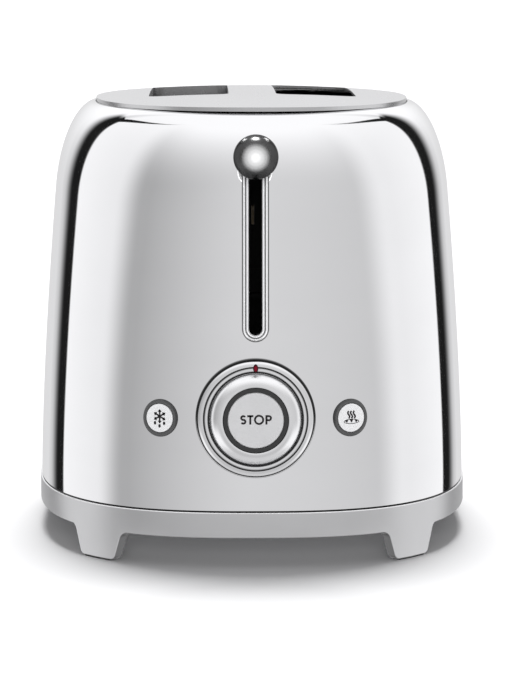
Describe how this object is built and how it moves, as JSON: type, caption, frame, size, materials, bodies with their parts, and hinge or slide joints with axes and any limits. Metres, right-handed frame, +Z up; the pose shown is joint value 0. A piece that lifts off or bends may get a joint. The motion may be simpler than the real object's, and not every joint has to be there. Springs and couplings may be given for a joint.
{
  "type": "toaster",
  "caption": "Rounded metal toaster with bread slots, a side lever with a ball knob, a browning dial with a stop button, push buttons and a pull-out crumb tray.",
  "frame": {"origin": "on the table under the middle of the overall box, lever ball included", "axes": "+Z up, -Y towards the lever end, +X to the right when facing the lever end"},
  "size_m": [0.195, 0.3268, 0.198],
  "materials": {
    "shell_steel": "mirror polished",
    "plate_steel": "fine brushed",
    "base_silver": "satin",
    "black_rubber": "matt",
    "sheet_steel": "mill",
    "black_plastic": "matt",
    "bright_chrome": "polished",
    "bright_sheet": "bright",
    "mica": "matt",
    "heating_alloy": "oxidised",
    "circuit_board": "matt",
    "dark_ring": "satin",
    "white_plastic": "matt",
    "satin_chrome": "satin",
    "dark_sheet": "matt heat-proof coating",
    "pointer_red": "gloss",
    "button_silver": "satin"
  },
  "bodies": {
    "housing": {"outer_shell": "shell_steel", "top_plate": "plate_steel", "base_ring": "base_silver", "rubber_feet": "black_rubber", "bottom_plate": "sheet_steel", "cord_gland": "black_plastic", "slot_bezel": "bright_chrome", "slot_liner": "black_plastic", "guide_rods": "bright_chrome", "return_spring": "sheet_steel", "front_frame": "dark_sheet", "rear_frame": "sheet_steel", "reflector_left": "bright_sheet", "reflector_right": "bright_sheet", "heater_card_left": "mica", "heater_card_centre": "mica", "heater_card_right": "mica", "heating_wires": "heating_alloy", "latch_magnet": "sheet_steel", "control_board": "circuit_board", "board_bracket": "sheet_steel", "browning_control": "black_plastic", "stop_switch": "black_plastic", "stop_sleeve": "dark_ring", "dial_bezel": "bright_chrome", "defrost_button_ring": "dark_ring", "reheat_button_ring": "dark_ring", "defrost_switch": "black_plastic", "reheat_switch": "black_plastic", "terminal_block": "white_plastic", "base_screws": "sheet_steel", "frame_screws": "sheet_steel", "board_screws": "sheet_steel"},
    "lever": {"lever_ball": "satin_chrome", "lever_stem": "bright_chrome", "carriage": "dark_sheet", "bread_lift_left": "sheet_steel", "bread_lift_right": "sheet_steel"},
    "dial": {"browning_dial": "satin_chrome", "dial_pointer": "pointer_red"},
    "stop_button": {"stop_button": "button_silver"},
    "defrost_button": {"defrost_button": "button_silver"},
    "reheat_button": {"reheat_button": "button_silver"},
    "crumb_tray": {"crumb_tray": "base_silver"},
    "guard_left_outer": {"bread_guard_left_outer": "sheet_steel"},
    "guard_left_inner": {"bread_guard_left_inner": "sheet_steel"},
    "guard_right_inner": {"bread_guard_right_inner": "sheet_steel"},
    "guard_right_outer": {"bread_guard_right_outer": "sheet_steel"}
  },
  "joints": [
    {"name": "lever_slide", "type": "slide", "parent": "housing", "child": "lever", "axis": [0, 0, -1], "range_m": [0, 0.07], "stiffness_N_per_m": 120, "springref_m": -0.05, "deforming": ["return_spring"]},
    {"name": "dial_turn", "type": "hinge", "parent": "housing", "child": "dial", "pos_m": [0, -0.1449, 0.0643], "axis": [0, -1, 0], "range_deg": [-135, 135]},
    {"name": "stop_press", "type": "slide", "parent": "housing", "child": "stop_button", "axis": [0, 1, 0], "range_m": [0, 0.0015], "stiffness_N_per_m": 900, "springref_m": -0.001},
    {"name": "defrost_press", "type": "slide", "parent": "housing", "child": "defrost_button", "axis": [0.389, 0.9212, 0], "range_m": [0, 0.0012], "stiffness_N_per_m": 900, "springref_m": -0.001},
    {"name": "reheat_press", "type": "slide", "parent": "housing", "child": "reheat_button", "axis": [-0.389, 0.9212, 0], "range_m": [0, 0.0012], "stiffness_N_per_m": 900, "springref_m": -0.001},
    {"name": "tray_slide", "type": "slide", "parent": "housing", "child": "crumb_tray", "axis": [0, 1, 0], "range_m": [0, 0.2]},
    {"name": "guard_left_outer_lean", "type": "hinge", "parent": "housing", "child": "guard_left_outer", "pos_m": [-0.0479, 0.00838, 0.04], "axis": [0, 1, 0], "range_deg": [0, 4.6]},
    {"name": "guard_left_inner_lean", "type": "hinge", "parent": "housing", "child": "guard_left_inner", "pos_m": [-0.0095, 0.00838, 0.04], "axis": [0, 1, 0], "range_deg": [-4.6, 0]},
    {"name": "guard_right_inner_lean", "type": "hinge", "parent": "housing", "child": "guard_right_inner", "pos_m": [0.0095, 0.00838, 0.04], "axis": [0, 1, 0], "range_deg": [0, 4.6]},
    {"name": "guard_right_outer_lean", "type": "hinge", "parent": "housing", "child": "guard_right_outer", "pos_m": [0.0479, 0.00838, 0.04], "axis": [0, 1, 0], "range_deg": [-4.6, 0]}
  ],
  "couplings": [
    {"joint": "guard_left_outer_lean", "follows": "lever_slide", "rad_per_m": 1.1},
    {"joint": "guard_left_inner_lean", "follows": "lever_slide", "rad_per_m": -1.1},
    {"joint": "guard_right_inner_lean", "follows": "lever_slide", "rad_per_m": 1.1},
    {"joint": "guard_right_outer_lean", "follows": "lever_slide", "rad_per_m": -1.1}
  ]
}
